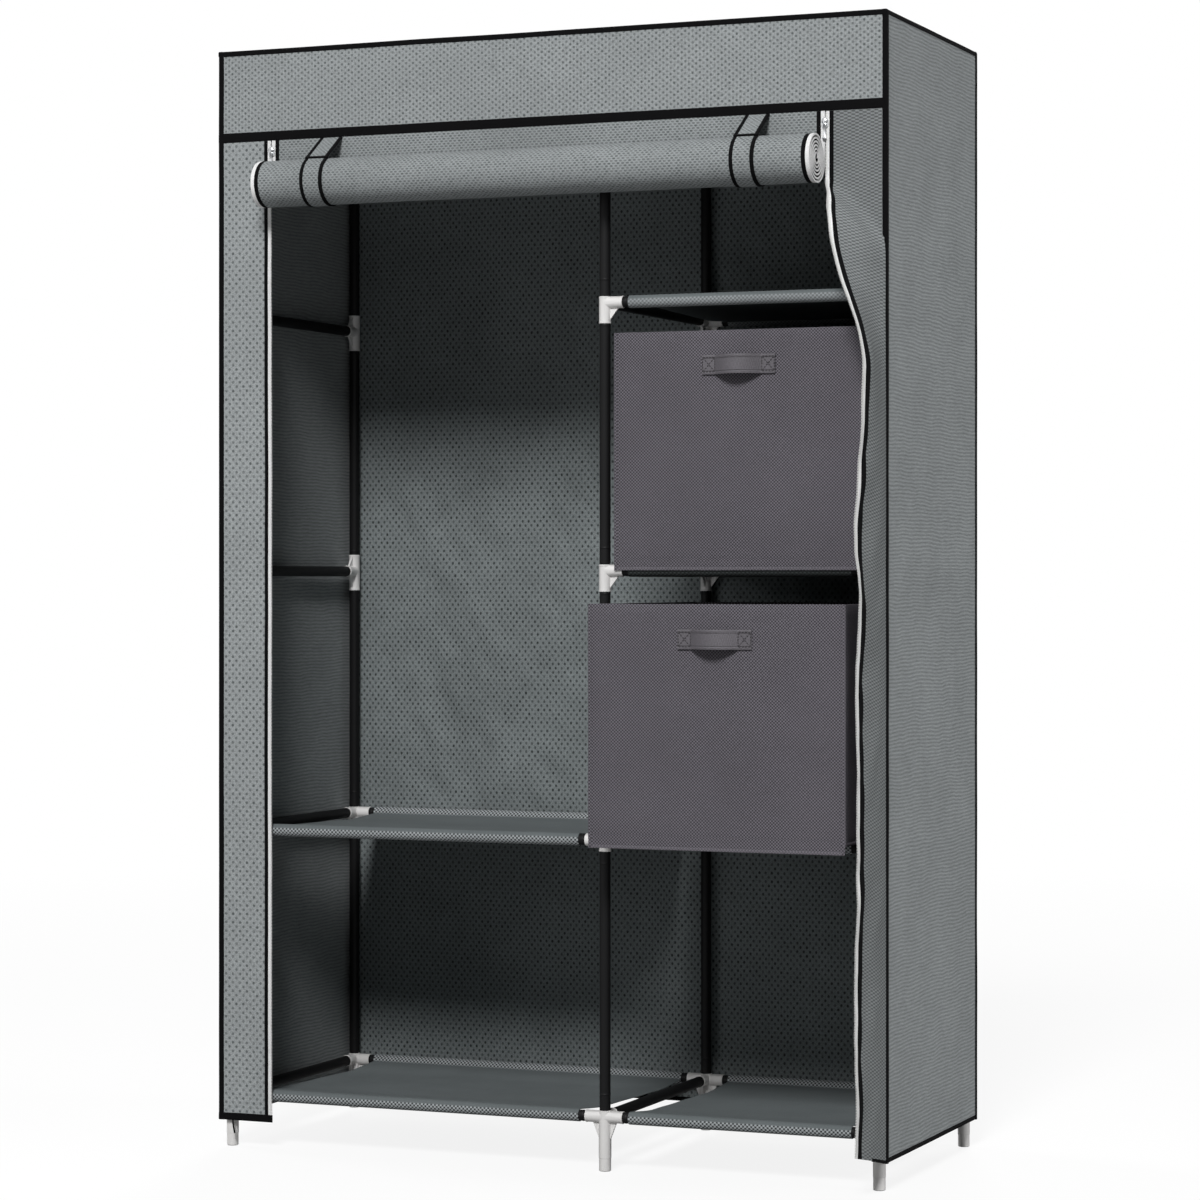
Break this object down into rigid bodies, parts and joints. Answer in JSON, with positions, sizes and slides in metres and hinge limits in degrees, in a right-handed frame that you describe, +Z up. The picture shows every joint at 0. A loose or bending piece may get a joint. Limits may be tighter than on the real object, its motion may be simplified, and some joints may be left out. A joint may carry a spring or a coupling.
{
  "type": "portable fabric wardrobe",
  "caption": "Free-standing tube-frame wardrobe with a sewn cloth cover, rolled front door, hanging bay, cloth shelves and pull-out fabric bins.",
  "frame": {"origin": "on the floor, under the middle of the wardrobe's outline with the lower bin pulled out as it is at rest", "axes": "+Z up, +Y towards the back, the door opening and the bins face -Y, +X to the right seen from the front"},
  "size_m": [1.03, 0.5398, 1.61],
  "materials": {
    "black_tube": "black powder coat on thin steel tube",
    "white_plastic": "white moulded plastic",
    "cover_fabric": "grey bonded cloth with embossed staggered dots",
    "shelf_fabric": "dark grey bonded cloth",
    "bin_fabric": "purple-grey bonded cloth with a fine cross weave",
    "handle_webbing": "purple-grey webbing",
    "black_binding": "black sewn binding tape",
    "zip_tape": "white zip tape and teeth",
    "zip_metal": "polished zip metal"
  },
  "bodies": {
    "wardrobe": {"crossbar_left_bottom": "white_plastic", "crossbar_centre_bottom": "white_plastic", "crossbar_right_bottom": "white_plastic", "crossbar_left_first": "white_plastic", "crossbar_centre_first": "white_plastic", "crossbar_right_first": "white_plastic", "crossbar_left_second": "white_plastic", "crossbar_centre_second": "white_plastic", "crossbar_right_second": "white_plastic", "crossbar_left_third": "white_plastic", "crossbar_centre_third": "white_plastic", "crossbar_right_third": "white_plastic", "crossbar_left_top": "white_plastic", "crossbar_centre_top": "white_plastic", "crossbar_right_top": "white_plastic", "upright_left_front": "black_tube", "upright_left_back": "black_tube", "upright_centre_front": "black_tube", "upright_centre_back": "black_tube", "upright_right_front": "black_tube", "upright_right_back": "black_tube", "rail_bottom_front": "black_tube", "rail_bottom_back": "black_tube", "rail_left_first_front": "black_tube", "rail_left_first_back": "black_tube", "rail_right_first_front": "black_tube", "rail_right_first_back": "black_tube", "rail_right_second_front": "black_tube", "rail_right_second_back": "black_tube", "rail_right_third_front": "black_tube", "rail_right_third_back": "black_tube", "rail_top_front": "black_tube", "rail_top_back": "black_tube", "hanging_rail": "black_tube", "shelf_left_bottom": "shelf_fabric", "shelf_left_first": "shelf_fabric", "shelf_right_bottom": "shelf_fabric", "shelf_right_first": "shelf_fabric", "shelf_right_second": "shelf_fabric", "shelf_right_third": "shelf_fabric", "cover_top": "cover_fabric", "cover_left": "cover_fabric", "cover_right": "cover_fabric", "cover_back": "cover_fabric", "header_band": "cover_fabric", "left_strip": "cover_fabric", "right_flap": "cover_fabric", "door_panel": "cover_fabric", "strap_band_left": "cover_fabric", "strap_band_right": "cover_fabric"},
    "lower_bin": {"bin_lower": "bin_fabric", "bin_handle_lower": "handle_webbing"},
    "upper_bin": {"bin_upper": "bin_fabric", "bin_handle_upper": "handle_webbing"},
    "left_tab": {"strap_tab_left": "cover_fabric"},
    "right_tab": {"strap_tab_right": "cover_fabric"},
    "left_slider": {"zip_slider_left": "zip_metal"},
    "right_slider": {"zip_slider_right": "zip_metal"},
    "left_pull": {"zip_pull_left": "zip_metal"},
    "right_pull": {"zip_pull_right": "zip_metal"}
  },
  "joints": [
    {"name": "lower_bin_slide", "type": "slide", "parent": "wardrobe", "child": "lower_bin", "axis": [0, -1, 0], "range_m": [-0.094, 0.166]},
    {"name": "upper_bin_slide", "type": "slide", "parent": "wardrobe", "child": "upper_bin", "axis": [0, -1, 0], "range_m": [0, 0.26]},
    {"name": "left_tab_lift", "type": "hinge", "parent": "wardrobe", "child": "left_tab", "pos_m": [-0.329, -0.1609, 1.4755], "axis": [-1, 0, 0], "range_deg": [0, 120]},
    {"name": "right_tab_lift", "type": "hinge", "parent": "wardrobe", "child": "right_tab", "pos_m": [0.329, -0.1609, 1.4755], "axis": [-1, 0, 0], "range_deg": [0, 120]},
    {"name": "left_zip_run", "type": "slide", "parent": "wardrobe", "child": "left_slider", "axis": [0, 0, 1], "range_m": [-0.008, 0.008]},
    {"name": "right_zip_run", "type": "slide", "parent": "wardrobe", "child": "right_slider", "axis": [0, 0, 1], "range_m": [-0.008, 0.008]},
    {"name": "left_pull_swing", "type": "hinge", "parent": "left_slider", "child": "left_pull", "pos_m": [-0.427, -0.1636, 1.459], "axis": [-1, 0, 0], "range_deg": [0, 170]},
    {"name": "right_pull_swing", "type": "hinge", "parent": "right_slider", "child": "right_pull", "pos_m": [0.427, -0.1636, 1.459], "axis": [-1, 0, 0], "range_deg": [0, 170]}
  ]
}
